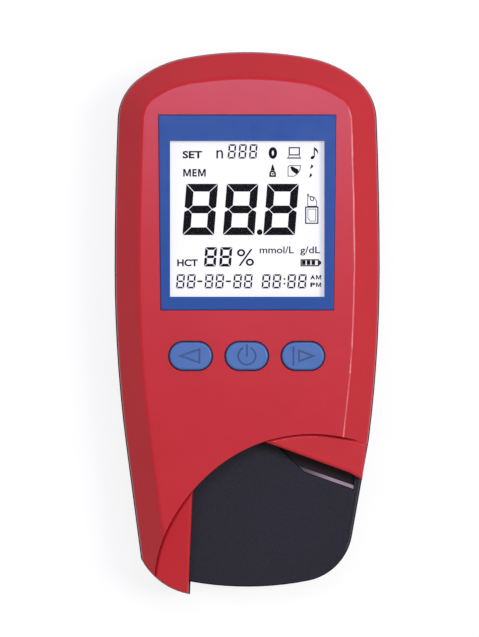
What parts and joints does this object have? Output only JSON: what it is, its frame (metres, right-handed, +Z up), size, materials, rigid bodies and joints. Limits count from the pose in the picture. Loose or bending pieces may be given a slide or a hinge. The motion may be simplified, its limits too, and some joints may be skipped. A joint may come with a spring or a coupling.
{
  "type": "hemoglobinometer",
  "caption": "Handheld hemoglobin meter with a tapered case, a square display, stadium keys and a strip port under a swept wing at the lower end.",
  "frame": {"origin": "The centre of the overall box in plan, at the underside of the rubber feet.", "axes": "The meter lies on its back: Z points up out of the display, Y towards the top end above the display, X to the right seen from the front."},
  "size_m": [0.064, 0.1311, 0.025],
  "materials": {
    "red_shell": "satin red moulding",
    "dark_shell": "charcoal moulding, lightly textured",
    "blue_surround": "blue moulding",
    "key_blue": "light blue moulding",
    "clear_window": "clear",
    "display_cell": "white reflective cell",
    "segment_ink": "black",
    "white_plastic": "white moulding",
    "light_guide": "milky clear",
    "strip_rubber": "soft grey",
    "guide_plastic": "pale pinkish grey moulding",
    "chip_black": "black moulding",
    "board_green": "green board",
    "screw_steel": "plain steel",
    "cell_jacket": "plain grey jacket",
    "contact_metal": "plated",
    "flex_film": "amber film",
    "foot_rubber": "black rubber"
  },
  "bodies": {
    "case": {"front_cover": "red_shell", "rear_cover": "dark_shell", "nose_cover": "dark_shell", "display_bezel": "blue_surround", "display_lens": "clear_window", "lcd_glass": "display_cell", "lcd_segments": "segment_ink", "lcd_frame": "white_plastic", "lcd_backlight": "light_guide", "lcd_connector_strips": "strip_rubber", "key_switches": "chip_black", "main_board": "board_green", "microcontroller": "chip_black", "memory_chip": "chip_black", "clock_crystal": "screw_steel", "power_inductor": "chip_black", "radio_module": "screw_steel", "buzzer": "chip_black", "case_screws": "screw_steel", "nose_screws": "screw_steel", "battery_left": "cell_jacket", "battery_right": "cell_jacket", "battery_springs": "contact_metal", "battery_contacts": "contact_metal", "strip_guide": "guide_plastic", "optics_housing": "chip_black", "optics_window": "clear_window", "optics_board": "board_green", "light_emitters": "light_guide", "photodiode": "chip_black", "flex_connectors": "white_plastic", "flex_cable": "flex_film", "rubber_feet": "foot_rubber"},
    "back_key": {"key_back": "key_blue", "plunger_back": "white_plastic"},
    "power_key": {"key_power": "key_blue", "plunger_power": "white_plastic"},
    "forward_key": {"key_forward": "key_blue", "plunger_forward": "white_plastic"},
    "door": {"battery_door": "dark_shell", "door_latch": "dark_shell"}
  },
  "joints": [
    {"name": "back_key_press", "type": "slide", "parent": "case", "child": "back_key", "axis": [0, 0, -1], "range_m": [0, 0.0005], "stiffness_N_per_m": 3000},
    {"name": "power_key_press", "type": "slide", "parent": "case", "child": "power_key", "axis": [0, 0, -1], "range_m": [0, 0.0005], "stiffness_N_per_m": 3000},
    {"name": "forward_key_press", "type": "slide", "parent": "case", "child": "forward_key", "axis": [0, 0, -1], "range_m": [0, 0.0005], "stiffness_N_per_m": 3000},
    {"name": "battery_door_hinge", "type": "hinge", "parent": "case", "child": "door", "pos_m": [0, 0.04755, 0.001], "axis": [1, 0, 0], "range_deg": [0, 35]}
  ]
}
